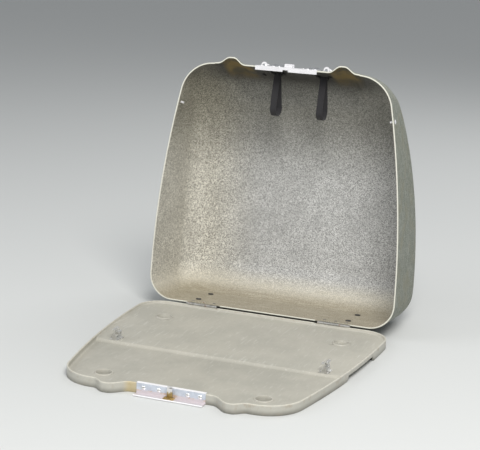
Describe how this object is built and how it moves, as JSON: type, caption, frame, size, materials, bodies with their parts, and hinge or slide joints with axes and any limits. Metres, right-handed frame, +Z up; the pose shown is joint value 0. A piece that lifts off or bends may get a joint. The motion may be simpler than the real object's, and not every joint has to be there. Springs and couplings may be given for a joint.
{
  "type": "portable typewriter case",
  "caption": "Open carrying case: shallow tray and deep domed lid on butt hinges, with slide lock, keeper, strap handle, elastic loops and hold-down clips",
  "frame": {"origin": "middle of the tray underside, on the surface the case stands on", "axes": "+X to the right across the front, +Y back towards the hinges and the open lid, +Z up"},
  "size_m": [0.3882, 0.5285, 0.3911],
  "materials": {
    "tray_shell": "smooth painted fibre moulding, worn satin",
    "lid_shell": "speckled moulded fibre shell, matte",
    "webbing": "black elastic webbing",
    "feet_rubber": "dark rubber",
    "keeper_steel": "dull grey plating with rust along the shelf",
    "hook_brass": "worn brass",
    "lock_steel": "plated sheet steel",
    "thumb_chrome": "bright plated",
    "grip_strip": "grey lacquered spring strip",
    "handle_chrome": "plated",
    "rivet_steel": "dull plated",
    "clip_steel": "polished",
    "hinge_steel": "dull plated",
    "plated_steel": "dull plated"
  },
  "bodies": {
    "tray": {"base_tray": "tray_shell", "keeper_plate": "keeper_steel", "keeper_hook": "hook_brass", "keeper_rivets": "rivet_steel", "keeper_hook_rivets": "hook_brass", "hinge_base_leaf_left": "hinge_steel", "hinge_base_leaf_right": "hinge_steel", "hinge_pin_left": "hinge_steel", "hinge_pin_right": "hinge_steel", "hinge_base_rivets": "rivet_steel", "clip_bracket_left": "clip_steel", "clip_bracket_right": "clip_steel", "clip_pin_left": "clip_steel", "clip_pin_right": "clip_steel", "clip_rivets": "rivet_steel"},
    "lid": {"lid_shell": "lid_shell", "hinge_lid_leaf_left": "hinge_steel", "hinge_lid_leaf_right": "hinge_steel", "hinge_lid_rivets": "rivet_steel", "lock_plate": "lock_steel", "lock_plate_rivets": "rivet_steel", "bolt_guide": "plated_steel", "bolt_guide_rivet": "rivet_steel", "handle_bracket_left": "handle_chrome", "handle_bracket_right": "handle_chrome", "handle_pin_left": "handle_chrome", "handle_pin_right": "handle_chrome", "handle_rivets": "handle_chrome", "strap_staple_left": "plated_steel", "strap_staple_right": "plated_steel", "strap_left": "webbing", "strap_right": "webbing", "strap_rivets": "rivet_steel", "side_pegs": "rivet_steel", "rear_feet": "feet_rubber"},
    "lock_slide": {"lock_thumb": "thumb_chrome", "lock_bolt": "plated_steel"},
    "handle_grip": {"handle_grip": "grip_strip"},
    "handle_loop_left": {"handle_loop_left": "handle_chrome"},
    "handle_loop_right": {"handle_loop_right": "handle_chrome"},
    "clip_left": {"clip_lever_left": "clip_steel"},
    "clip_right": {"clip_lever_right": "clip_steel"}
  },
  "joints": [
    {"name": "lid_hinge", "type": "hinge", "parent": "tray", "child": "lid", "pos_m": [0, 0.1845, 0.0142], "axis": [1, 0, 0], "range_deg": [0, 95.59]},
    {"name": "lock_slide", "type": "slide", "parent": "lid", "child": "lock_slide", "axis": [-1, 0, 0], "range_m": [0, 0.005]},
    {"name": "handle_lift", "type": "slide", "parent": "lid", "child": "handle_grip", "axis": [0, 0.3072, 0.9517], "range_m": [0, 0.0187]},
    {"name": "handle_left_swing", "type": "hinge", "parent": "lid", "child": "handle_loop_left", "pos_m": [-0.049, 0.27041, 0.37464], "axis": [0, 0.9517, -0.3072], "range_deg": [-50, 0]},
    {"name": "handle_right_swing", "type": "hinge", "parent": "lid", "child": "handle_loop_right", "pos_m": [0.049, 0.27041, 0.37464], "axis": [0, 0.9517, -0.3072], "range_deg": [0, 50]},
    {"name": "clip_left_swing", "type": "hinge", "parent": "tray", "child": "clip_left", "pos_m": [-0.15405, -0.0125, 0.016], "axis": [0, -1, 0], "range_deg": [0, 70]},
    {"name": "clip_right_swing", "type": "hinge", "parent": "tray", "child": "clip_right", "pos_m": [0.15405, -0.0125, 0.016], "axis": [0, 1, 0], "range_deg": [0, 70]}
  ],
  "couplings": [
    {"joint": "handle_left_swing", "follows": "handle_lift", "rad_per_m": -46.51},
    {"joint": "handle_right_swing", "follows": "handle_lift", "rad_per_m": 46.51}
  ]
}
